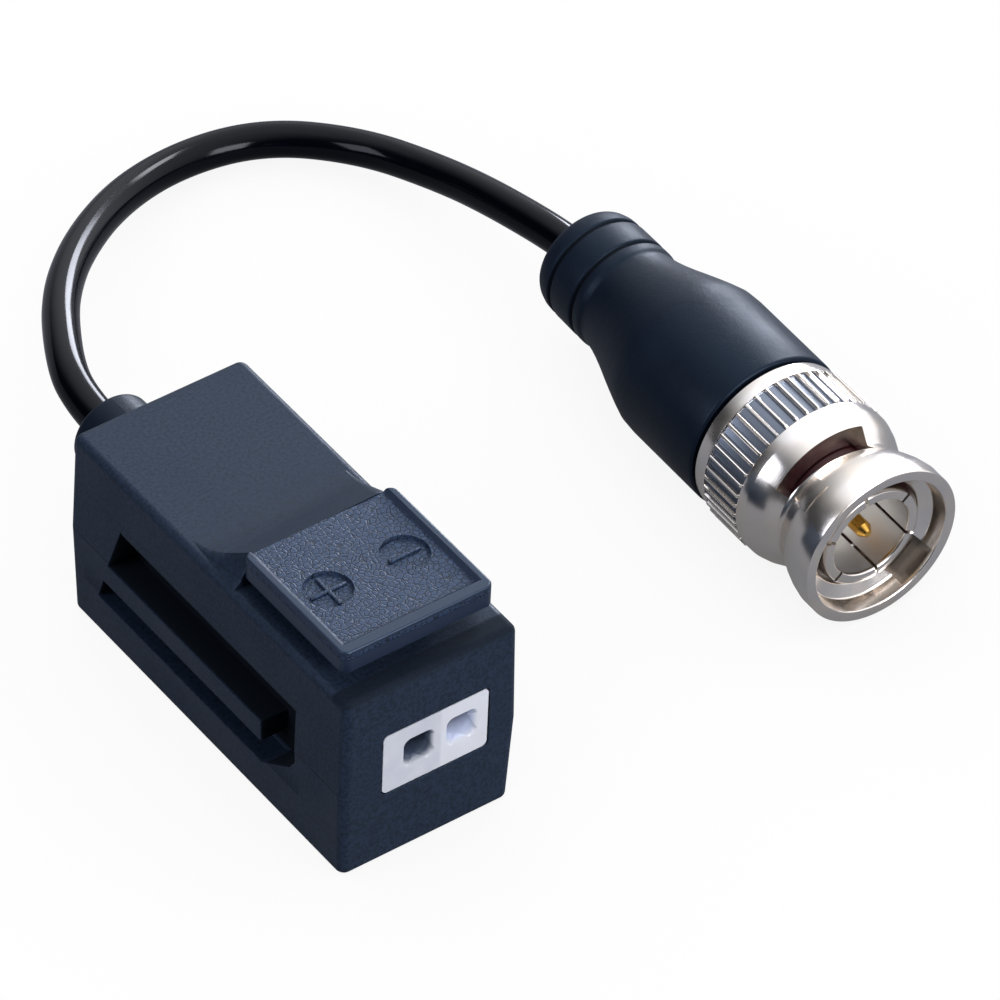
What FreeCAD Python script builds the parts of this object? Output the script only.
"""Passive video balun: a small black housing with two push-in wire terminals under a
press lever, and a short coaxial pigtail that ends in a moulded BNC plug.

Millimetres. The origin is the middle of the housing's base. The terminals face -Y,
the cable leaves towards +Y, and the housing stands on Z = 0.
The plug's own pieces are drawn along an axis of their own. A distance called "back" is
measured from the coupling nut's front rim towards the cable.
"""
import FreeCAD
import Part
import math
import os
from FreeCAD import Vector

# Housing
body_width = 16.4
body_length = 37.0
body_height = 18.2
parting_height = 8.7
top_draft = 0.16
base_draft = 0.29
wall = 1.4
upright_edge_radius = 0.8
top_edge_radius = 0.7
base_edge_radius = 0.5
lip_thickness = 0.6
lip_height = 0.9
lip_gap = 0.08

# Sliding recess in the left side, with a rib flush with the side.
# A size that ends in "from_front" or "from_back" is measured from that face of the housing.
recess_depth = 2.6
recess_wall = 1.0
recess_from_front = 6.4
recess_from_back = 3.9
recess_back_lean = 0.333
recess_top = 13.8
rib_top = 8.2
rib_bottom = 6.1
rib_from_front = 10.9
channel_bottom = 3.85
pocket_corner_from_front = 7.2
pocket_corner_z = 6.3
pocket_shoulder_z = 7.5

# Hood behind the lever. A size that ends in "rise" is measured up from the roof, and one
# that ends in "inset" is measured in from the housing's sides.
hood_start_from_front = 23.5
hood_crest_from_front = 15.4
hood_crest_rise = 3.2
hood_crest_inset = 1.2
hood_crest_radius = 1.6
hood_flank_spread = 0.7
hood_foot_inset = 0.75
hood_foot_radius = 0.3
hood_foot_sink = 0.08
# How far along the hood, and how far up, each of its sections stands
hood_curve = [
    (0.0, 0.0),
    (0.123, 0.008),
    (0.222, 0.03),
    (0.346, 0.1),
    (0.472, 0.22),
    (0.611, 0.41),
    (0.783, 0.68),
    (0.922, 0.9),
    (1.0, 1.0),
]

# Press lever
pad_inset = 1.2
pad_gap_to_hood = 0.06
pad_from_front = 2.05
pad_top_rise = 3.5
pad_thickness = 2.05
pad_corner_radius = 0.7
pad_edge_radius = 0.2
field_depth = 0.4
field_rim = 0.55
field_slope = 0.45
field_front_margin = 0.95
dish_radius = 2.0
dish_depth = 0.3
dish_inset = 4.64
dish_from_front = 8.95
pivot_from_front = 16.6
pivot_rise = 0.5
pin_radius = 0.6
pin_running_gap = 0.05
pin_seat_gap = 0.01
pin_end_inset = 1.7
knuckle_radius = 1.0
knuckle_width = 3.0
knuckle_x = 3.5
knuckle_gap = 0.15
arm_from_front = 13.9
arm_bottom_rise = 0.45
arm_root = 0.1
press_angle = 5.0

# Terminal block and its window
window_margin_left = 0.15
window_margin_right = 1.45
window_bottom = 7.2
window_height = 6.0
window_gap = 0.1
window_radius = 0.5
block_flange = 0.6
block_back_from_front = 9.3
block_setback = 0.1
entry_offset = 0.5
entry_pitch = 4.0
entry_z = 10.3
entry_mouth = 3.0
entry_mouth_radius = 0.7
entry_bore_radius = 1.15
entry_funnel_depth = 0.9
chamber_width = 2.8
chamber_from_front = 2.1
chamber_back_from_front = 8.3
chamber_floor = 7.4

# Contact bar, clamp spring and the lever's plunger
bar_width = 2.5
bar_thickness = 0.5
bar_bottom_z = 11.3
bar_front_gap = 0.1
bar_slot_gap = 0.2
bar_tail_from_front = 9.9
bar_tail_thickness = 0.5
bar_tail_width = 0.9
bar_tail_below_board = 0.8
spring_width = 2.4
spring_thickness = 0.3
spring_bend_radius = 0.45
spring_bend_from_front = 3.75
spring_base_from_front = 8.1
spring_angle = 33.0
spring_touch_gap = 0.05
plunger_width = 1.3
plunger_from_front = 4.8
plunger_back_from_front = 6.0
plunger_tip_below_bar = 0.45
plunger_side_gap = 0.2
plunger_swing_gap = 0.9

# Circuit board and what it carries
board_thickness = 1.0
board_gap = 0.3
board_from_front = 2.1
board_from_back = 3.3
board_rib_thickness = 1.0
board_rib_inset = 0.7
post_radius = 1.0
post_gap = 0.05
core_radius = 3.5
core_bore_radius = 1.7
core_height = 3.0
core_left_of_middle = 0.1
core_from_front = 14.9
wire_diameter = 0.4
wire_gap = 0.03
winding_turns = 14
winding_open_turns = 2
chip_length = 2.0
chip_width = 1.25
chip_height = 0.8
chip_from_board_edge = 1.7
chip_from_front = 20.7
chip_pitch = 2.6
chip_count = 2
arrester_length = 4.3
arrester_width = 3.4
arrester_height = 2.2
arrester_from_board_edge = 3.3
arrester_from_front = 22.1
arrester_lead = 0.7
arrester_lead_width = 2.0
arrester_lead_thickness = 0.3

# Cable, its gland and its stripped ends
cable_radius = 1.55
cable_z = 9.5
dielectric_radius = 0.85
conductor_radius = 0.25
gland_radius = 3.65
gland_end_radius = 3.5
gland_length = 6.6
gland_neck_radius = 3.0
gland_hole_gap = 0.03
gland_flange_radius = 3.9
gland_flange_thickness = 1.3
gland_flange_gap = 0.05
gland_edge_radius = 0.6
cable_fit_gap = 0.03
tail_jacket_from_back = 4.9
tail_dielectric_from_back = 7.3
tail_bend_from_back = 8.9
drain_radius = 0.45
drain_from_back = 5.4

# Free length of the cable: corners of its path, measured from where it leaves the gland
cable_corners = [
    (0.0, 3.2, 0.0),
    (1.22, 8.02, -0.03),
    (7.97, 18.86, -2.85),
    (17.8, 27.15, -5.78),
    (27.1, 30.67, -7.52),
    (35.24, 29.21, -7.52),
    (41.11, 23.4, -7.18),
    (43.51, 15.26, -5.56),
    (43.99, 8.0, -3.51),
    (44.73, -0.93, -2.05),
]
cable_last_run = 2.72
arc_share = 0.45

# Plug: how far it is turned from the housing's own direction, its length, and the nut
plug_turn = 1.334
plug_length = 41.1
cable_inside_boot = 1.5
nut_rim_radius = 7.25
nut_rim_length = 1.6
nut_rim_edge = 0.2
nut_waist_radius = 5.95
nut_waist_front = 5.3
nut_waist_back = 5.7
nut_shoulder_back = 8.4
nut_band_radius = 7.35
knurl_front = 9.4
knurl_back = 13.75
knurl_radius = 7.45
knurl_root_radius = 7.05
knurl_teeth = 45
knurl_tooth_width = 0.5
knurl_crest_width = 0.3
nut_back = 15.25
nut_back_radius = 7.1
mouth_radius = 6.3
mouth_inner_radius = 6.1
mouth_depth = 1.5
bore_radius = 4.95
bore_start = 2.0
chamber_radius = 6.05
chamber_start = 9.15
clip_groove_depth = 0.4
clip_groove_front = 13.5
clip_groove_back = 14.2
slot_count = 2
slot_start_angle = 147.0
slot_end_angle = 67.0
slot_steps = 10
slot_front_at_start = 5.75
slot_front_at_end = 4.7
slot_back_at_start = 6.7
slot_back_at_end = 6.85
entry_angle = 132.0
entry_groove_width = 2.4
entry_groove_radius = 5.65
entry_groove_back = 6.0
lead_in_width = 3.6
lead_in_radius = 6.65
lead_in_start = 0.35
nut_float = 0.8

# Plug: body, contacts and seals
body_gap = 0.05
running_gap = 0.08
hub_radius = 4.85
hub_front = 7.2
flange_radius = 5.95
flange_front = 9.2
flange_back = 11.2
neck_radius = 4.85
neck_back = 17.0
barrel_radius = 3.9
barrel_back = 21.6
post_outer_radius = 1.7
post_inner_radius = 0.9
crimp_post_back = 28.0
contact_outer_radius = 4.1
contact_inner_radius = 3.6
contact_tip = 1.25
contact_lip_radius = 4.5
contact_lip_length = 1.1
contact_lip_slope = 0.5
contact_back = 11.0
contact_slits = 6
contact_slit_width = 0.3
contact_slit_length = 5.4
contact_slit_angle = 41.0
insulator_front = 7.0
insulator_back = 13.4
pin_contact_radius = 0.68
pin_contact_tip = 1.75
pin_contact_nose = 0.6
pin_shank_radius = 1.0
pin_shank_front = 7.02
pin_collar_radius = 1.3
pin_collar_front = 12.6
pin_contact_back = 16.2
solder_cup_depth = 2.6
gasket_front = 5.3
gasket_inner_radius = 4.15
gasket_outer_radius = 4.8
wave_front_gap = 0.05
wave_thickness = 0.3
wave_height = 1.7
wave_count = 3
thrust_front = 13.0
thrust_thickness = 0.45
clip_thickness = 0.6
clip_gap_width = 2.6

# Plug: crimp and moulded boot
braid_thickness = 0.25
braid_front = 21.8
ferrule_inner_radius = 2.0
ferrule_outer_radius = 2.55
ferrule_front = 21.75
ferrule_back = 30.0
ferrule_neck = 28.6
jacket_start = 28.7
boot_front = 15.6
boot_radius = 7.25
boot_fit_gap = 0.03
# These are measured back from the boot's cable end
boot_straight_to_end = 16.5
boot_flare_mid_to_end = 11.9
boot_flare_mid_radius = 6.12
boot_flare_to_end = 7.2
boot_flare_radius = 4.82
boot_collar_to_end = 6.6
boot_collar_radius = 4.95
boot_grooves_to_end = (5.6, 2.5)
boot_groove_width = 0.35
boot_groove_depth = 0.3
boot_round_to_end = 1.6
boot_round_mid_to_end = 0.5
boot_round_mid_radius = 4.4
boot_face_to_end = 0.1
boot_face_radius = 3.3
boot_end_radius = 2.2

# Worked out from the values above
front_y = -body_length / 2
back_y = body_length / 2
half_width = body_width / 2
recess_floor_x = -half_width + recess_depth
recess_inner_x = recess_floor_x + recess_wall
recess_front = front_y + recess_from_front
recess_back_low = back_y - recess_from_back
rib_front = front_y + rib_from_front
pocket_corner_y = front_y + pocket_corner_from_front
inner_half_width = half_width - wall
inner_half_length = body_length / 2 - wall
roof_inner_z = body_height - wall
hood_start_y = front_y + hood_start_from_front
hood_crest_y = front_y + hood_crest_from_front
hood_crest_z = body_height + hood_crest_rise
hood_crest_half_width = half_width - hood_crest_inset
hood_foot_half_width = half_width - hood_foot_inset
pad_half_width = half_width - pad_inset
pad_front_y = front_y + pad_from_front
pad_top_z = body_height + pad_top_rise
pad_bottom_z = pad_top_z - pad_thickness
pad_back_y = hood_crest_y - pad_gap_to_hood
dish_x = half_width - dish_inset
dish_y = front_y + dish_from_front
pivot_y = front_y + pivot_from_front
pivot_z = body_height + pivot_rise
pin_length = body_width - 2 * pin_end_inset
arm_front_y = front_y + arm_from_front
arm_bottom_z = body_height + arm_bottom_rise
window_left = recess_inner_x + window_margin_left
window_right = inner_half_width - window_margin_right
window_width = window_right - window_left
window_centre_x = (window_left + window_right) / 2
window_top = window_bottom + window_height
block_bottom = window_bottom - block_flange
block_top = window_top + block_flange
block_back_y = front_y + block_back_from_front
chamber_front_y = front_y + chamber_from_front
chamber_back_y = front_y + chamber_back_from_front
bar_tail_y = front_y + bar_tail_from_front
spring_bend_y = front_y + spring_bend_from_front
spring_base_back_y = front_y + spring_base_from_front
plunger_front_y = front_y + plunger_from_front
plunger_back_y = front_y + plunger_back_from_front
plunger_tip_z = bar_bottom_z - plunger_tip_below_bar
board_top = block_bottom
board_bottom = board_top - board_thickness
board_left = recess_inner_x + board_gap
board_right = inner_half_width - board_gap
board_front_y = front_y + board_from_front
board_back_y = back_y - board_from_back
core_x = (board_left + board_right) / 2 - core_left_of_middle
core_y = front_y + core_from_front
chip_x = board_left + chip_from_board_edge
chip_first_y = front_y + chip_from_front
arrester_x = board_right - arrester_from_board_edge
arrester_y = front_y + arrester_from_front
tail_jacket_end_y = back_y - tail_jacket_from_back
tail_dielectric_end_y = back_y - tail_dielectric_from_back
tail_bend_y = back_y - tail_bend_from_back
drain_y = back_y - drain_from_back
cable_joint_back = plug_length - cable_inside_boot
entry_x = [
    window_centre_x + entry_offset - entry_pitch / 2,
    window_centre_x + entry_offset + entry_pitch / 2,
]
entry_names = ["left", "right"]
gland_back_y = back_y + gland_length
cable_start = Vector(0, gland_back_y, cable_z)
plug_forward = Vector(-math.sin(math.radians(plug_turn)), -math.cos(math.radians(plug_turn)), 0)
cable_end = cable_start + Vector(*cable_corners[-1]) + plug_forward * cable_last_run
big = 60.0


def box(x0, x1, y0, y1, z0, z1):
    """A box between two corners."""
    return Part.makeBox(x1 - x0, y1 - y0, z1 - z0, Vector(x0, y0, z0))


def cylinder(radius, length, base, direction):
    """A solid cylinder from a base point along a direction."""
    return Part.makeCylinder(radius, length, base, direction)


def rectangle_wire(half_x, half_y, z):
    """A level rectangle about the Z axis."""
    corners = [(-half_x, -half_y), (half_x, -half_y), (half_x, half_y), (-half_x, half_y)]
    points = [Vector(x, y, z) for x, y in corners]
    return Part.makePolygon(points + points[:1])


def drafted_shell_blank(z_wide, z_narrow, draft):
    """Half of the housing: widest at the parting line, narrower at its far face."""
    wide = rectangle_wire(half_width, body_length / 2, z_wide)
    narrow = rectangle_wire(half_width - draft, body_length / 2 - draft, z_narrow)
    return Part.makeLoft([wide, narrow], True, True)


def edges_where(shape, test):
    """The edges whose centre and ends pass a test."""
    return [edge for edge in shape.Edges if test(edge)]


def is_upright(edge):
    heights = [vertex.Z for vertex in edge.Vertexes]
    return max(heights) - min(heights) > 1.0


def lies_at(z):
    return lambda edge: all(abs(vertex.Z - z) < 1e-6 for vertex in edge.Vertexes)


def outer_half(z_wide, z_narrow, draft, far_radius):
    """A drafted half with its upright edges and its far face's edges rounded."""
    blank = drafted_shell_blank(z_wide, z_narrow, draft)
    blank = blank.makeFillet(upright_edge_radius, edges_where(blank, is_upright))
    return blank.makeFillet(far_radius, edges_where(blank, lies_at(z_narrow)))


def prism_x(outline, x0, x1):
    """An outline of (y, z) points pushed along X."""
    points = [Vector(x0, y, z) for y, z in outline]
    face = Part.Face(Part.makePolygon(points + points[:1]))
    return face.extrude(Vector(x1 - x0, 0, 0))


def recess_cut():
    """The space in the left side: a rolled upper lip, a rib and a lower channel."""
    out_x = -half_width - 1.0
    roll_centre = Vector(-half_width + recess_depth, 0, recess_top)
    roll_mid = roll_centre + Vector(-1, 0, -1).multiply(recess_depth * math.sqrt(0.5))
    side_top = Vector(-half_width, 0, recess_top)
    floor_top = Vector(recess_floor_x, 0, recess_top - recess_depth)
    floor_low = Vector(recess_floor_x, 0, rib_top)
    out_low = Vector(out_x, 0, rib_top)
    out_top = Vector(out_x, 0, recess_top)
    edges = [
        Part.Arc(side_top, roll_mid, floor_top).toShape(),
        Part.LineSegment(floor_top, floor_low).toShape(),
        Part.LineSegment(floor_low, out_low).toShape(),
        Part.LineSegment(out_low, out_top).toShape(),
        Part.LineSegment(out_top, side_top).toShape(),
    ]
    face = Part.Face(Part.Wire(edges))
    face.translate(Vector(0, recess_front, 0))
    upper = face.extrude(Vector(0, big, 0))
    lower = box(out_x, recess_floor_x, rib_front, big, channel_bottom, rib_bottom)
    pocket_outline = [
        (rib_front, rib_top),
        (rib_front, channel_bottom),
        (pocket_corner_y, pocket_corner_z),
        (recess_front, pocket_shoulder_z),
        (recess_front, rib_top),
    ]
    pocket = prism_x(pocket_outline, out_x, recess_floor_x)
    cut = upper.fuse([lower, pocket])
    back_low = recess_back_low
    back_high = recess_back_low - recess_back_lean * (recess_top + 1 - channel_bottom)
    beyond = prism_x(
        [
            (back_low, channel_bottom),
            (back_high, recess_top + 1),
            (2 * big, recess_top + 1),
            (2 * big, channel_bottom - 1),
            (back_low, channel_bottom - 1),
        ],
        out_x - 1,
        recess_floor_x + 1,
    )
    return cut.cut(beyond)


def inner_space(z0, z1):
    """The hollow of the housing, less the wall that backs the side recess."""
    hollow = box(-inner_half_width, inner_half_width, -inner_half_length, inner_half_length, z0, z1)
    backing = box(
        -half_width,
        recess_inner_x,
        recess_front - recess_wall,
        recess_back_low + recess_wall,
        channel_bottom - recess_wall,
        recess_top + recess_wall,
    )
    return hollow.cut(backing)


def rounded_rectangle(cx, cz, width, height, radius, y):
    """An upright rounded rectangle in a plane of constant Y."""
    x0, x1 = cx - width / 2, cx + width / 2
    z0, z1 = cz - height / 2, cz + height / 2
    corners = [
        (x1 - radius, z0 + radius, -90),
        (x1 - radius, z1 - radius, 0),
        (x0 + radius, z1 - radius, 90),
        (x0 + radius, z0 + radius, 180),
    ]
    arcs = []
    for x, z, start in corners:
        turn = [math.radians(start + step) for step in (0, 45, 90)]
        points = [Vector(x + radius * math.cos(a), y, z + radius * math.sin(a)) for a in turn]
        arcs.append(points)
    edges = []
    for number, points in enumerate(arcs):
        edges.append(Part.Arc(*points).toShape())
        following = arcs[(number + 1) % len(arcs)]
        edges.append(Part.LineSegment(points[2], following[0]).toShape())
    return Part.Wire(edges)


def window_cut():
    """The opening that the terminal block's nose looks through."""
    wire = rounded_rectangle(
        window_centre_x,
        window_bottom + window_height / 2,
        window_width + 2 * window_gap,
        window_height + 2 * window_gap,
        window_radius,
        front_y - 1,
    )
    return Part.Face(wire).extrude(Vector(0, wall + 1, 0))


def gland_hole():
    """The hole in the back wall for the gland's neck."""
    base = Vector(0, inner_half_length - 0.5, cable_z)
    return cylinder(gland_neck_radius + gland_hole_gap, wall + 1, base, Vector(0, 1, 0))


def lip(gap):
    """The locating lip along the right wall, or the rebate that takes it."""
    x0 = inner_half_width
    return box(
        x0,
        x0 + lip_thickness + gap,
        -inner_half_length + 1 - gap,
        inner_half_length - 1 + gap,
        parting_height,
        parting_height + lip_height + gap,
    )


def hood_section(y, half_width_here, top, radius, spread):
    """An upright section of the hood: rounded upper corners and flanks that spread to the roof."""
    low = roof_inner_z
    slope = radius * (1 - math.sqrt(0.5))
    foot = half_width_here + spread
    left_side = Vector(-half_width_here, y, top - radius)
    left_mid = Vector(-half_width_here + slope, y, top - slope)
    left_top = Vector(-half_width_here + radius, y, top)
    right_top = Vector(half_width_here - radius, y, top)
    right_mid = Vector(half_width_here - slope, y, top - slope)
    right_side = Vector(half_width_here, y, top - radius)
    roof = body_height - hood_foot_sink
    edges = [
        Part.Arc(left_side, left_mid, left_top).toShape(),
        Part.LineSegment(left_top, right_top).toShape(),
        Part.Arc(right_top, right_mid, right_side).toShape(),
    ]
    corners = [
        right_side,
        Vector(foot, y, min(roof, top - radius - 0.01)),
        Vector(foot, y, low),
        Vector(-foot, y, low),
        Vector(-foot, y, min(roof, top - radius - 0.01)),
        left_side,
    ]
    for here, following in zip(corners, corners[1:]):
        edges.append(Part.LineSegment(here, following).toShape())
    return Part.Wire(edges)


def hood():
    """The hood behind the lever: it rises from the roof in a soft curve to the pad's back edge."""
    rise = hood_crest_z - body_height + hood_foot_sink
    sections = []
    for along, up in hood_curve:
        y = hood_start_y + (hood_crest_y - hood_start_y) * along
        half = hood_foot_half_width + (hood_crest_half_width - hood_foot_half_width) * along
        radius = hood_foot_radius + (hood_crest_radius - hood_foot_radius) * up
        top = body_height - hood_foot_sink + rise * up
        sections.append(hood_section(y, half, top, radius, 0.01 + hood_flank_spread * up))
    return Part.makeLoft(sections, True, True)


def hood_pockets():
    """Room in the hood for the lever's two knuckles, and the bore for its pin."""
    cuts = []
    for side in (-1, 1):
        x0 = side * knuckle_x - knuckle_width / 2 - knuckle_gap
        width = knuckle_width + 2 * knuckle_gap
        base = Vector(x0, pivot_y, pivot_z)
        cuts.append(cylinder(knuckle_radius + knuckle_gap, width, base, Vector(1, 0, 0)))
        top = pad_bottom_z + arm_root + knuckle_gap
        low = pivot_z - knuckle_radius - knuckle_gap
        cuts.append(box(x0, x0 + width, hood_crest_y - 1, pivot_y, low, top))
    base = Vector(-pin_length / 2 - pin_seat_gap, pivot_y, pivot_z)
    length = pin_length + 2 * pin_seat_gap
    cuts.append(cylinder(pin_radius + pin_seat_gap, length, base, Vector(1, 0, 0)))
    return cuts


def plunger_slots():
    """The roof's two slots that the lever's plungers pass through."""
    half = plunger_width / 2 + plunger_side_gap
    y0 = plunger_front_y - plunger_side_gap
    y1 = plunger_back_y + plunger_side_gap + plunger_swing_gap
    return [box(x - half, x + half, y0, y1, roof_inner_z - 1, body_height + 1) for x in entry_x]


def board_posts():
    """Two posts from the roof that hold the board down at its back."""
    posts = []
    for x in (board_left + post_radius + 0.4, board_right - post_radius - 0.4):
        base = Vector(x, board_back_y - post_radius - 0.4, board_top + post_gap)
        posts.append(cylinder(post_radius, roof_inner_z + 0.5 - base.z, base, Vector(0, 0, 1)))
    return posts


def block_rib():
    """A rib from the roof that holds the terminal block down."""
    y0 = -inner_half_length - 0.1
    z0 = block_top + window_gap
    return box(window_left, window_right, y0, chamber_front_y - 0.1, z0, roof_inner_z + 0.5)


def top_cover():
    """Upper half of the housing, with the hood, the lever's pockets and its posts."""
    outer = outer_half(parting_height, body_height, top_draft, top_edge_radius)
    shell = outer.cut(inner_space(parting_height, roof_inner_z))
    shell = shell.fuse(board_posts() + [block_rib(), hood()])
    shell = shell.cut(hood_pockets() + plunger_slots())
    return shell.cut([recess_cut(), window_cut(), gland_hole(), lip(lip_gap)])


def board_ribs():
    """Two ribs on the floor that the circuit board rests on."""
    ribs = []
    for x in (board_left + board_rib_inset, board_right - board_rib_inset - board_rib_thickness):
        y0 = -inner_half_length - 0.2
        ribs.append(box(x, x + board_rib_thickness, y0, board_back_y, wall - 0.3, board_bottom))
    return ribs


def bottom_cover():
    """Lower half of the housing, with the board's ribs and the locating lip."""
    outer = outer_half(parting_height, 0, base_draft, base_edge_radius)
    shell = outer.cut(inner_space(wall, parting_height))
    shell = shell.fuse(board_ribs() + [lip(0)])
    return shell.cut([recess_cut(), window_cut(), gland_hole()])


def pad_field():
    """The sunk field of the pad, with sloping sides and an open back."""
    top = pad_top_z + 0.01
    low = pad_top_z - field_depth
    sections = []
    for inset, z in ((field_rim + field_slope, low), (field_rim, top)):
        half = pad_half_width - inset
        y0 = pad_front_y + field_front_margin + inset - field_rim
        corners = [(-half, y0), (half, y0), (half, pad_back_y + 1), (-half, pad_back_y + 1)]
        points = [Vector(x, y, z) for x, y in corners]
        sections.append(Part.makePolygon(points + points[:1]))
    return Part.makeLoft(sections, True, True)


def pad_dishes():
    """The two round dishes in the field, one over each terminal."""
    low = pad_top_z - field_depth - dish_depth
    return [
        cylinder(dish_radius, dish_depth + 1, Vector(side * dish_x, dish_y, low), Vector(0, 0, 1))
        for side in (-1, 1)
    ]


def push_lever():
    """The press lever: pad, two hinge arms with knuckles, and two plungers."""
    pad = box(-pad_half_width, pad_half_width, pad_front_y, pad_back_y, pad_bottom_z, pad_top_z)
    pad = pad.makeFillet(pad_corner_radius, edges_where(pad, is_upright))
    pad = pad.makeFillet(pad_edge_radius, edges_where(pad, lies_at(pad_top_z)))
    added = []
    for side in (-1, 1):
        x0 = side * knuckle_x - knuckle_width / 2
        x1 = x0 + knuckle_width
        base = Vector(x0, pivot_y, pivot_z)
        added.append(cylinder(knuckle_radius, knuckle_width, base, Vector(1, 0, 0)))
        arm_top = pad_bottom_z + arm_root
        added.append(box(x0, x1, arm_front_y, pivot_y, arm_bottom_z, arm_top))
    for x in entry_x:
        half = plunger_width / 2
        top = pad_bottom_z + arm_root
        added.append(box(x - half, x + half, plunger_front_y, plunger_back_y, plunger_tip_z, top))
    lever = pad.fuse(added)
    base = Vector(-big / 2, pivot_y, pivot_z)
    bore = cylinder(pin_radius + pin_running_gap, big, base, Vector(1, 0, 0))
    return lever.cut([bore, pad_field()] + pad_dishes()).removeSplitter()


def lever_pin():
    """Steel hinge pin, seated in the hood's cheeks."""
    base = Vector(-pin_length / 2, pivot_y, pivot_z)
    return cylinder(pin_radius, pin_length, base, Vector(1, 0, 0))


def entry_cut(x):
    """One wire entry: a square funnel that narrows to a round bore."""
    nose_y = front_y + block_setback
    narrow = 2 * entry_bore_radius
    mouth = rounded_rectangle(x, entry_z, entry_mouth, entry_mouth, entry_mouth_radius, nose_y - 0.01)
    throat = rounded_rectangle(
        x, entry_z, narrow, narrow, entry_bore_radius - 0.001, nose_y + entry_funnel_depth
    )
    funnel = Part.makeLoft([mouth, throat], True, True)
    base = Vector(x, nose_y + entry_funnel_depth - 0.05, entry_z)
    length = chamber_front_y + 0.1 - base.y
    return [funnel, cylinder(entry_bore_radius, length, base, Vector(0, 1, 0))]


def terminal_block():
    """White terminal block: a nose in the window, two funnels and two clamp chambers."""
    body_front = -inner_half_length + window_gap
    body = box(window_left, window_right, body_front, block_back_y, block_bottom, block_top)
    wire = rounded_rectangle(
        window_centre_x,
        window_bottom + window_height / 2,
        window_width,
        window_height,
        window_radius,
        front_y + block_setback,
    )
    nose = Part.Face(wire).extrude(Vector(0, body_front + 0.1 - front_y - block_setback, 0))
    block = body.fuse(nose)
    cuts = []
    for x in entry_x:
        half = chamber_width / 2
        cuts.append(
            box(x - half, x + half, chamber_front_y, chamber_back_y, chamber_floor, block_top + 1)
        )
        half = bar_width / 2 + bar_front_gap
        cuts.append(
            box(x - half, x + half, chamber_back_y - 1, block_back_y + 1, bar_bottom_z, block_top + 1)
        )
        cuts += entry_cut(x)
    return block.cut(cuts)


def contact_bar(x):
    """Tinned bar over the wire, slotted for the plunger, with a tail through the board."""
    z1 = bar_bottom_z + bar_thickness
    half = bar_width / 2
    tail_back = bar_tail_y + bar_tail_thickness
    flat = box(x - half, x + half, chamber_front_y + bar_front_gap, tail_back, bar_bottom_z, z1)
    tail_low = board_bottom - bar_tail_below_board
    half_tail = bar_tail_width / 2
    tail = box(x - half_tail, x + half_tail, bar_tail_y, tail_back, tail_low, z1)
    half_slot = plunger_width / 2 + bar_slot_gap
    slot = box(
        x - half_slot,
        x + half_slot,
        plunger_front_y - bar_slot_gap,
        plunger_back_y + plunger_swing_gap + bar_slot_gap,
        bar_bottom_z - 1,
        z1 + 1,
    )
    return flat.fuse(tail).cut(slot).removeSplitter()


def clamp_spring(x):
    """Folded steel clamp spring: a base, a bend at the front and a rising blade."""
    half = spring_width / 2
    mean = spring_bend_radius + spring_thickness / 2
    outer = spring_bend_radius + spring_thickness
    centre_z = chamber_floor + outer
    centre = Vector(x - half, spring_bend_y, centre_z)
    base = box(
        x - half,
        x + half,
        spring_bend_y,
        spring_base_back_y,
        chamber_floor,
        chamber_floor + spring_thickness,
    )
    ring = cylinder(outer, spring_width, centre, Vector(1, 0, 0))
    ring = ring.cut(cylinder(spring_bend_radius, spring_width, centre, Vector(1, 0, 0)))
    rise = math.radians(spring_angle)
    start_y = spring_bend_y - mean * math.sin(rise)
    start_z = centre_z + mean * math.cos(rise)
    tip_z = bar_bottom_z - spring_touch_gap - spring_thickness / 2 * math.cos(rise)
    blade_length = (tip_z - start_z) / math.sin(rise)
    blade = box(-half, half, 0, blade_length, -spring_thickness / 2, spring_thickness / 2)
    blade.rotate(Vector(0, 0, 0), Vector(1, 0, 0), spring_angle)
    blade.translate(Vector(x, start_y, start_z))
    reach = 4 * outer
    behind = box(-half, half, 0, reach, -reach, reach)
    lower = behind.copy()
    lower.rotate(Vector(0, 0, 0), Vector(1, 0, 0), spring_angle)
    keep_out = behind.common(lower)
    keep_out.translate(Vector(x, spring_bend_y, centre_z))
    return base.fuse([ring.cut(keep_out), blade]).removeSplitter()


def circuit_board():
    """Fibreglass board between the housing's walls, with holes for the bars' tails."""
    board = box(board_left, board_right, board_front_y, board_back_y, board_bottom, board_top)
    holes = []
    for x in entry_x:
        half = bar_tail_width / 2 + 0.1
        holes.append(
            box(
                x - half,
                x + half,
                bar_tail_y - 0.1,
                bar_tail_y + bar_tail_thickness + 0.1,
                board_bottom - 1,
                board_top + 1,
            )
        )
    return board.cut(holes)


def balun_core():
    """Ferrite ring lying on the board, clear of it by its lower wires."""
    low = Vector(core_x, core_y, board_top + wire_diameter + wire_gap)
    ring = cylinder(core_radius, core_height, low, Vector(0, 0, 1))
    ring = ring.cut(cylinder(core_bore_radius, core_height, low, Vector(0, 0, 1)))
    return ring.makeChamfer(0.25, [edge for edge in ring.Edges if edge.Closed])


def winding():
    """The bifilar winding: wire loops that stand around the ring's section."""
    z0 = board_top
    z1 = board_top + 2 * (wire_diameter + wire_gap) + core_height
    r0 = core_bore_radius - wire_gap - wire_diameter
    r1 = core_radius + wire_gap + wire_diameter
    half = wire_diameter / 2
    outer = box(r0, r1, -half, half, z0, z1)
    hole = box(
        r0 + wire_diameter,
        r1 - wire_diameter,
        -half - 1,
        half + 1,
        z0 + wire_diameter,
        z1 - wire_diameter,
    )
    loop = outer.cut(hole)
    turns = []
    for number in range(winding_turns):
        turn = loop.copy()
        angle = 360.0 * (number + 0.5) / (winding_turns + winding_open_turns)
        turn.rotate(Vector(0, 0, 0), Vector(0, 0, 1), angle)
        turn.translate(Vector(core_x, core_y, 0))
        turns.append(turn)
    return Part.makeCompound(turns)


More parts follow.
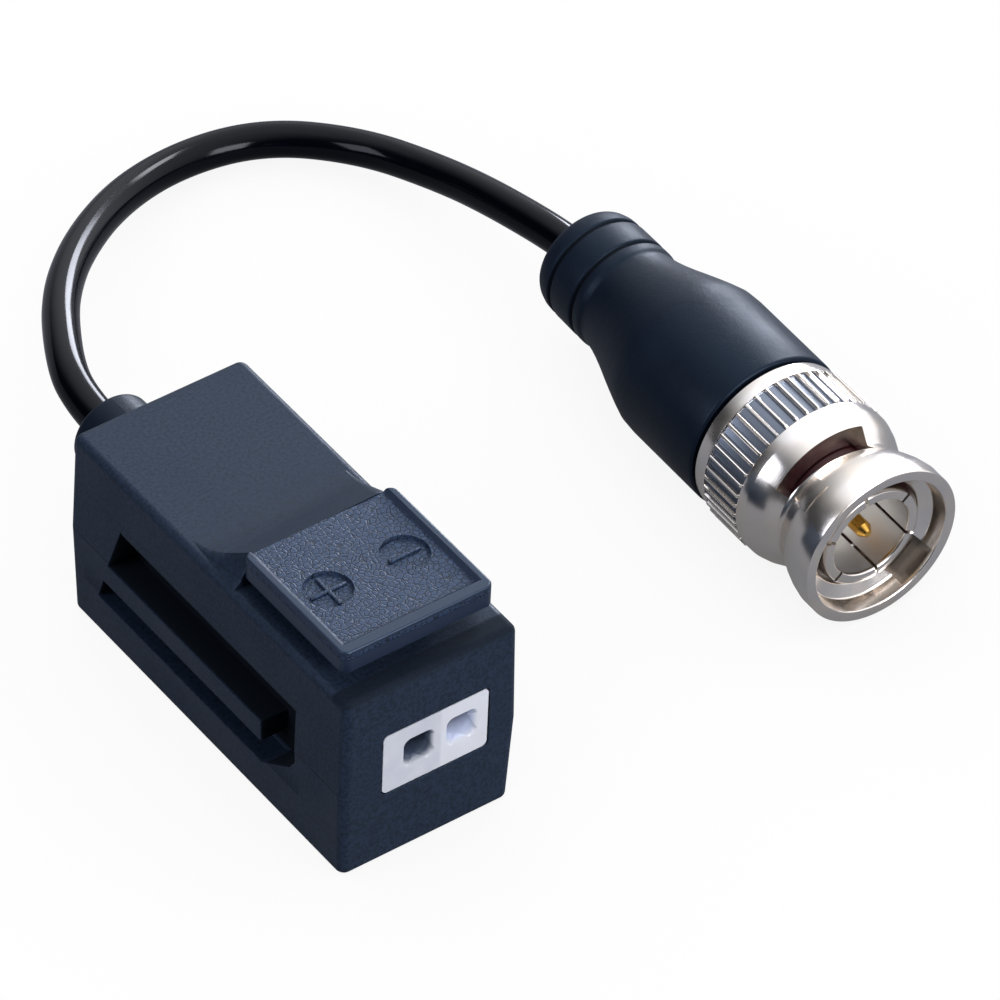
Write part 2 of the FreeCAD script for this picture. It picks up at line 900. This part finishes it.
def chip_capacitors():
    """Small ceramic chips on the board, side by side."""
    chips = []
    for number in range(chip_count):
        y0 = chip_first_y + number * chip_pitch
        x0 = chip_x - chip_length / 2
        chips.append(box(x0, x0 + chip_length, y0, y0 + chip_width, board_top, board_top + chip_height))
    return Part.makeCompound(chips)


def surge_arrester():
    """Surface-mount surge arrester: a moulded block with two folded leads."""
    half_x = arrester_width / 2
    half_y = arrester_length / 2
    lift = arrester_lead_thickness
    body = box(
        arrester_x - half_x,
        arrester_x + half_x,
        arrester_y - half_y,
        arrester_y + half_y,
        board_top + lift,
        board_top + arrester_height,
    )
    leads = []
    for side in (-1, 1):
        edge = arrester_y + side * half_y
        y0, y1 = sorted((edge - side * 0.3, edge + side * arrester_lead))
        half_lead = arrester_lead_width / 2
        leads.append(
            box(arrester_x - half_lead, arrester_x + half_lead, y0, y1, board_top, board_top + 0.9)
        )
    return body.fuse(leads).removeSplitter()


def turned_y(outline, x, z):
    """An outline of (y, radius) points turned about a line along Y."""
    points = [Vector(x, y, z + radius) for y, radius in outline]
    face = Part.Face(Part.makePolygon(points + points[:1]))
    return face.revolve(Vector(x, 0, z), Vector(0, 1, 0), 360)


def cable_gland():
    """Soft gland in the back wall: an inner flange, a neck and an outer barrel."""
    bore = cable_radius + cable_fit_gap
    flange_back = inner_half_length - gland_flange_gap
    outline = [
        (flange_back - gland_flange_thickness, bore),
        (flange_back - gland_flange_thickness, gland_flange_radius),
        (flange_back, gland_flange_radius),
        (flange_back, gland_neck_radius),
        (back_y + gland_flange_gap, gland_neck_radius),
        (back_y + gland_flange_gap, gland_radius),
        (gland_back_y, gland_end_radius),
        (gland_back_y, bore),
    ]
    gland = turned_y(outline, 0, cable_z)
    rim = [
        edge
        for edge in gland.Edges
        if edge.Closed and abs(edge.CenterOfMass.y - gland_back_y) < 1e-6
        and abs(edge.Length - 2 * math.pi * gland_end_radius) < 1e-3
    ]
    return gland.makeFillet(gland_edge_radius, rim)


def path_with_arcs(points):
    """Straight runs joined by arcs, each as large as its two runs allow."""
    edges = []
    radii = []
    start = points[0]
    for before, corner, after in zip(points, points[1:], points[2:]):
        into = corner - before
        out = after - corner
        turn = into.getAngle(out)
        shorter = min(into.Length, out.Length)
        reach = arc_share * shorter
        radius = reach / math.tan(turn / 2)
        into.normalize()
        out.normalize()
        tangent_in = corner - into * reach
        tangent_out = corner + out * reach
        inward = (out - into).normalize()
        middle = corner + inward * (radius / math.cos(turn / 2) - radius)
        edges.append(Part.LineSegment(start, tangent_in).toShape())
        edges.append(Part.Arc(tangent_in, middle, tangent_out).toShape())
        radii.append(radius)
        start = tangent_out
    edges.append(Part.LineSegment(start, points[-1]).toShape())
    return Part.Wire(edges), radii


def round_tube(points, radius):
    """A round bar along a path of runs and arcs."""
    wire, radii = path_with_arcs(points)
    direction = points[1] - points[0]
    section = Part.Wire([Part.Circle(points[0], direction, radius).toShape()])
    tube = wire.makePipeShell([section], True, True)
    return tube, wire.Length, radii


def coax_tail():
    """The cable's end inside the housing: jacket, dielectric and bent conductor."""
    jacket = cylinder(
        cable_radius,
        gland_back_y - tail_jacket_end_y,
        Vector(0, tail_jacket_end_y, cable_z),
        Vector(0, 1, 0),
    )
    dielectric = cylinder(
        dielectric_radius,
        tail_jacket_end_y - tail_dielectric_end_y + 0.1,
        Vector(0, tail_dielectric_end_y, cable_z),
        Vector(0, 1, 0),
    )
    corner = Vector(0, tail_bend_y, cable_z)
    points = [Vector(0, tail_dielectric_end_y + 0.1, cable_z), corner, Vector(0, tail_bend_y, board_top)]
    conductor = round_tube(points, conductor_radius)[0]
    return jacket.fuse([dielectric, conductor])


def drain_braid():
    """The cable's braid, twisted into a tail and soldered to the board."""
    start = Vector(cable_radius + drain_radius + 0.05, drain_y + 2, cable_z)
    corner = Vector(start.x, drain_y, cable_z)
    return round_tube([start, corner, Vector(corner.x, corner.y, board_top)], drain_radius)[0]


def coax_cable():
    """The free length of the cable, from the gland to the boot."""
    corners = [cable_start + Vector(*corner) for corner in cable_corners]
    tube, length, radii = round_tube([cable_start] + corners + [cable_end], cable_radius)
    expected = math.pi * cable_radius ** 2 * length
    print("cable path %.1f mm, radii %s" % (length, [round(r, 1) for r in radii]))
    print("cable volume over section times length %.5f" % (tube.Volume / expected))
    return tube


def plug_placement():
    """Turns the plug's own axis to lie level, in line with the cable's last run."""
    forward = plug_forward
    side = Vector(0, 0, 1).cross(forward)
    rim = cable_end + forward * cable_joint_back
    print("plug points along", forward, "with its rim's centre at", rim)
    return FreeCAD.Placement(
        FreeCAD.Matrix(
            side.x, 0, forward.x, rim.x,
            side.y, 0, forward.y, rim.y,
            side.z, 1, forward.z, rim.z,
            0, 0, 0, 1,
        )
    )


def turned(outline):
    """An outline of (back, radius) points turned about the plug's axis.

    A point with a third value is reached by an arc that passes through it.
    """
    edges = []
    points = [Vector(item[1], 0, -item[0]) for item in outline]
    number = 0
    count = len(outline)
    while number < count:
        here = points[number]
        following = (number + 1) % count
        if len(outline[following]) == 3:
            last = (following + 1) % count
            edges.append(Part.Arc(here, points[following], points[last]).toShape())
            number += 2
        else:
            edges.append(Part.LineSegment(here, points[following]).toShape())
            number += 1
    face = Part.Face(Part.Wire(edges))
    return face.revolve(Vector(0, 0, 0), Vector(0, 0, 1), 360)


def tube_between(back0, back1, inner, outer):
    """A plain ring on the plug's axis."""
    return turned([(back0, inner), (back0, outer), (back1, outer), (back1, inner)])


def nut_blank():
    """The coupling nut's turned form, inside and out."""
    waist_mid = (nut_rim_length + nut_waist_front) / 2
    shoulder_mid = nut_waist_back + (nut_shoulder_back - nut_waist_back) * 0.37
    shoulder_mid_radius = nut_waist_radius + (nut_band_radius - nut_waist_radius) * 0.62
    groove_radius = chamber_radius + clip_groove_depth
    return turned(
        [
            (0, mouth_radius),
            (0, nut_rim_radius - nut_rim_edge),
            (nut_rim_edge, nut_rim_radius),
            (nut_rim_length, nut_rim_radius),
            (waist_mid, (nut_rim_radius * 0.68 + nut_waist_radius * 0.32), "arc"),
            (nut_waist_front, nut_waist_radius),
            (nut_waist_back, nut_waist_radius),
            (shoulder_mid, shoulder_mid_radius, "arc"),
            (nut_shoulder_back, nut_band_radius),
            (knurl_front, nut_band_radius),
            (knurl_front, knurl_root_radius),
            (knurl_back, knurl_root_radius),
            (knurl_back, nut_back_radius + nut_rim_edge),
            (nut_back - nut_rim_edge, nut_back_radius),
            (nut_back, nut_back_radius - nut_rim_edge),
            (nut_back, chamber_radius),
            (clip_groove_back, chamber_radius),
            (clip_groove_back, groove_radius),
            (clip_groove_front, groove_radius),
            (clip_groove_front, chamber_radius),
            (chamber_start, chamber_radius),
            (chamber_start, bore_radius),
            (bore_start, bore_radius),
            (mouth_depth, mouth_inner_radius),
        ]
    )


def knurl_ridges():
    """Straight ridges around the nut's grip."""
    root = knurl_root_radius - 0.1
    section = [
        Vector(root, -knurl_tooth_width / 2, -knurl_back),
        Vector(knurl_radius, -knurl_crest_width / 2, -knurl_back),
        Vector(knurl_radius, knurl_crest_width / 2, -knurl_back),
        Vector(root, knurl_tooth_width / 2, -knurl_back),
    ]
    face = Part.Face(Part.makePolygon(section + section[:1]))
    ridge = face.extrude(Vector(0, 0, knurl_back - knurl_front))
    ridges = []
    for number in range(knurl_teeth):
        copy = ridge.copy()
        copy.rotate(Vector(0, 0, 0), Vector(0, 0, 1), 360.0 * number / knurl_teeth)
        ridges.append(copy)
    return ridges


def radial_block(angle, width, back0, back1, r0, r1):
    """A block that points outwards from the axis at an angle."""
    block = box(r0, r1, -width / 2, width / 2, -back1, -back0)
    block.rotate(Vector(0, 0, 0), Vector(0, 0, 1), angle)
    return block


def slot_segment(angle0, angle1, fronts, backs):
    """One step of a curved slot, cut outwards along its middle direction."""
    middle = (angle0 + angle1) / 2
    half = math.radians(abs(angle1 - angle0)) / 2
    r0, r1 = hub_radius - 0.4, nut_rim_radius + 1
    # Half the chord at the nut's skin, a little over, so that neighbours overlap
    reach = math.tan(half) * knurl_root_radius
    sign = 1 if angle1 > angle0 else -1
    corners = [
        (-sign * reach, fronts[0]),
        (sign * reach, fronts[1]),
        (sign * reach, backs[1]),
        (-sign * reach, backs[0]),
    ]
    points = [Vector(r0, across, -back) for across, back in corners]
    piece = Part.Face(Part.makePolygon(points + points[:1])).extrude(Vector(r1 - r0, 0, 0))
    piece.rotate(Vector(0, 0, 0), Vector(0, 0, 1), middle)
    return piece


def bayonet_slot(turn):
    """A slot through the nut's waist that climbs and widens from its start to its seat."""
    pieces = []
    for step in range(slot_steps):
        shares = (step / slot_steps, (step + 1) / slot_steps)
        angles = [slot_start_angle + (slot_end_angle - slot_start_angle) * s for s in shares]
        fronts = [slot_front_at_start + (slot_front_at_end - slot_front_at_start) * s for s in shares]
        backs = [slot_back_at_start + (slot_back_at_end - slot_back_at_start) * s for s in shares]
        pieces.append(slot_segment(angles[0] + turn, angles[1] + turn, fronts, backs))
    return pieces[0].fuse(pieces[1:])


def coupling_nut():
    """Bayonet coupling nut: knurl, waist, two curved slots and two entry grooves."""
    nut = nut_blank().fuse(knurl_ridges())
    cuts = []
    for number in range(slot_count):
        turn = 360.0 * number / slot_count
        angle = entry_angle + turn
        cuts.append(bayonet_slot(turn))
        cuts.append(
            radial_block(
                angle, entry_groove_width, bore_start - 1, entry_groove_back, 0, entry_groove_radius
            )
        )
        cuts.append(radial_block(angle, lead_in_width, lead_in_start, bore_start, 0, lead_in_radius))
    return nut.cut(cuts)


def outer_contact():
    """Slotted outer contact: a sleeve with a flared lip and spring fingers."""
    lip_back = contact_tip + contact_lip_length
    sleeve = turned(
        [
            (contact_tip, contact_inner_radius + 0.15),
            (contact_tip, contact_lip_radius - 0.2),
            (contact_tip + 0.2, contact_lip_radius),
            (lip_back, contact_lip_radius),
            (lip_back + contact_lip_slope, contact_outer_radius),
            (contact_back, contact_outer_radius),
            (contact_back, contact_inner_radius),
            (contact_tip + 0.15, contact_inner_radius),
        ]
    )
    slits = []
    back1 = contact_tip + contact_slit_length
    r0, r1 = contact_inner_radius - 1, contact_lip_radius + 1
    for number in range(contact_slits):
        angle = contact_slit_angle + 360.0 * number / contact_slits
        slits.append(radial_block(angle, contact_slit_width, contact_tip - 1, back1, r0, r1))
    return sleeve.cut(slits)


def plug_body():
    """Turned brass body: hub, flange, neck, barrel and hollow crimp post."""
    seat = contact_outer_radius + 0.02
    return turned(
        [
            (hub_front, seat),
            (hub_front, hub_radius),
            (flange_front, hub_radius),
            (flange_front, flange_radius),
            (flange_back, flange_radius),
            (flange_back, neck_radius),
            (neck_back, neck_radius),
            (neck_back, barrel_radius),
            (barrel_back, barrel_radius),
            (barrel_back, post_outer_radius),
            (crimp_post_back, post_outer_radius),
            (crimp_post_back, post_inner_radius),
            (pin_contact_back + 0.4, post_inner_radius),
            (pin_contact_back + 0.4, pin_collar_radius + 0.4),
            (insulator_back + body_gap, pin_collar_radius + 0.4),
            (insulator_back + body_gap, contact_inner_radius),
            (contact_back + body_gap, contact_inner_radius),
            (contact_back + body_gap, seat),
        ]
    )


def insulator():
    """White insulator that centres the pin in the outer contact."""
    outer = contact_inner_radius - body_gap
    inner = pin_shank_radius + 0.02
    return turned(
        [
            (insulator_front, inner),
            (insulator_front, outer),
            (insulator_back, outer),
            (insulator_back, pin_collar_radius + 0.02),
            (pin_collar_front - 0.02, pin_collar_radius + 0.02),
            (pin_collar_front - 0.02, inner),
        ]
    )


def centre_pin():
    """Gold-plated centre pin with a rounded nose and a cup for the conductor."""
    cup = conductor_radius + 0.05
    nose = pin_contact_tip + pin_contact_nose
    return turned(
        [
            (pin_contact_tip, 0),
            (pin_contact_tip, pin_contact_radius * 0.45),
            (nose, pin_contact_radius),
            (pin_shank_front, pin_contact_radius),
            (pin_shank_front, pin_shank_radius),
            (pin_collar_front, pin_shank_radius),
            (pin_collar_front, pin_collar_radius),
            (pin_contact_back, pin_collar_radius),
            (pin_contact_back, cup),
            (pin_contact_back - solder_cup_depth, cup),
            (pin_contact_back - solder_cup_depth, 0),
        ]
    )


def gasket():
    """Silicone ring in front of the hub, seen through the nut's slots."""
    return tube_between(gasket_front, hub_front, gasket_inner_radius, gasket_outer_radius)


def wave_washer():
    """Spring washer with three waves, between the body's flange and the thrust washer."""
    inner = neck_radius + running_gap
    outer = chamber_radius - running_gap
    front = flange_back + wave_front_gap
    swing = (wave_height - wave_thickness) / 2
    steps = wave_count * 8
    pieces = []
    for step in range(steps):
        a0 = 2 * math.pi * step / steps
        a1 = 2 * math.pi * (step + 1) / steps
        corners = []
        for angle in (a0, a1):
            back = front + swing * (1 + math.sin(wave_count * angle))
            corners.append((angle, back))
        points = []
        for radius in (inner, outer):
            ordered = corners if radius == inner else corners[::-1]
            for angle, back in ordered:
                points.append(Vector(radius * math.cos(angle), radius * math.sin(angle), -back))
        face_a = Part.Face(Part.makePolygon([points[0], points[1], points[2], points[0]]))
        face_b = Part.Face(Part.makePolygon([points[0], points[2], points[3], points[0]]))
        for face in (face_a, face_b):
            pieces.append(face.extrude(Vector(0, 0, -wave_thickness)))
    return pieces[0].fuse(pieces[1:])


def thrust_washer():
    """Flat washer that the wave washer presses against the retaining clip."""
    back = thrust_front + thrust_thickness
    return tube_between(thrust_front, back, neck_radius + running_gap, chamber_radius - running_gap)


def retaining_clip():
    """Open wire clip in the nut's rear groove."""
    front = clip_groove_front + running_gap / 2
    outer = chamber_radius + clip_groove_depth - running_gap
    ring = tube_between(front, front + clip_thickness, neck_radius + 2 * running_gap, outer)
    return ring.cut(radial_block(-90, clip_gap_width, front - 1, front + 2, 0, outer + 1))


def crimp_ferrule():
    """Crimped sleeve over the braid and the start of the jacket."""
    return turned(
        [
            (ferrule_front, ferrule_inner_radius),
            (ferrule_front, ferrule_outer_radius),
            (ferrule_neck, ferrule_outer_radius),
            (ferrule_back, ferrule_outer_radius - 0.4),
            (ferrule_back, cable_radius + cable_fit_gap),
            (ferrule_neck, cable_radius + cable_fit_gap),
            (crimp_post_back + 0.1, ferrule_inner_radius),
        ]
    )


def plug_braid():
    """The braid, opened over the crimp post and held by the ferrule."""
    inner = post_outer_radius + 0.02
    return tube_between(braid_front, crimp_post_back, inner, inner + braid_thickness)


def coax_plug_end():
    """The cable's end inside the boot: conductor, dielectric and jacket."""
    return turned(
        [
            (pin_contact_back - solder_cup_depth + 0.2, 0),
            (pin_contact_back - solder_cup_depth + 0.2, conductor_radius),
            (pin_contact_back + 0.5, conductor_radius),
            (pin_contact_back + 0.5, dielectric_radius),
            (jacket_start, dielectric_radius),
            (jacket_start, cable_radius),
            (cable_joint_back, cable_radius),
            (cable_joint_back, 0),
        ]
    )


def plug_boot():
    """Moulded boot: a wide grip, a flare, a grooved collar and a rounded end."""
    cable_hole = cable_radius + cable_fit_gap
    straight_back = plug_length - boot_straight_to_end
    outline = [
        (boot_front, neck_radius + boot_fit_gap),
        (boot_front, boot_radius - 0.25),
        (boot_front + 0.25, boot_radius),
        (straight_back, boot_radius),
        (straight_back + 1.9, boot_radius * 0.975, "arc"),
        (straight_back + 3.0, boot_radius * 0.915),
        (plug_length - boot_flare_mid_to_end, boot_flare_mid_radius),
        (plug_length - boot_flare_to_end, boot_flare_radius),
        (plug_length - boot_collar_to_end, boot_collar_radius),
    ]
    for to_end in boot_grooves_to_end:
        place = plug_length - to_end
        low = boot_collar_radius - boot_groove_depth
        outline += [
            (place - boot_groove_width / 2, boot_collar_radius),
            (place, low),
            (place + boot_groove_width / 2, boot_collar_radius),
        ]
    outline += [
        (plug_length - boot_round_to_end, boot_collar_radius - 0.1),
        (plug_length - boot_round_mid_to_end, boot_round_mid_radius, "arc"),
        (plug_length - boot_face_to_end, boot_face_radius),
        (plug_length, boot_end_radius),
        (plug_length, cable_hole),
        (ferrule_back + body_gap, cable_hole),
        (ferrule_back + body_gap, ferrule_outer_radius + boot_fit_gap),
        (barrel_back + body_gap, ferrule_outer_radius + boot_fit_gap),
        (barrel_back + body_gap, barrel_radius + boot_fit_gap),
        (neck_back + body_gap, barrel_radius + boot_fit_gap),
        (neck_back + body_gap, neck_radius + boot_fit_gap),
    ]
    return turned(outline)


def housing_parts():
    """Every piece in and on the housing, by name."""
    parts = {
        "top_cover": top_cover(),
        "bottom_cover": bottom_cover(),
        "push_lever": push_lever(),
        "lever_pin": lever_pin(),
        "terminal_block": terminal_block(),
        "circuit_board": circuit_board(),
        "balun_core": balun_core(),
        "winding": winding(),
        "chip_capacitors": chip_capacitors(),
        "surge_arrester": surge_arrester(),
        "cable_gland": cable_gland(),
        "coax_tail": coax_tail(),
        "drain_braid": drain_braid(),
        "coax_cable": coax_cable(),
    }
    for name, x in zip(entry_names, entry_x):
        parts["contact_bar_" + name] = contact_bar(x)
        parts["clamp_spring_" + name] = clamp_spring(x)
    return parts


def plug_parts():
    """Every piece of the plug, by name, moved to where it lies."""
    makers = [
        coupling_nut,
        outer_contact,
        plug_body,
        insulator,
        centre_pin,
        gasket,
        wave_washer,
        thrust_washer,
        retaining_clip,
        crimp_ferrule,
        plug_braid,
        coax_plug_end,
        plug_boot,
    ]
    placement = plug_placement()
    parts = {}
    for maker in makers:
        shape = maker()
        shape.Placement = placement
        parts[maker.__name__] = shape
    return parts


def main():
    os.makedirs("parts", exist_ok=True)
    parts = housing_parts()
    parts.update(plug_parts())
    for name, shape in parts.items():
        solids = shape.Solids
        print("%-18s solids %d valid %s volume %.2f" % (name, len(solids), shape.isValid(), shape.Volume))
        shape.exportStep("parts/%s.step" % name)
    print("%d sub-parts" % len(parts))


main()
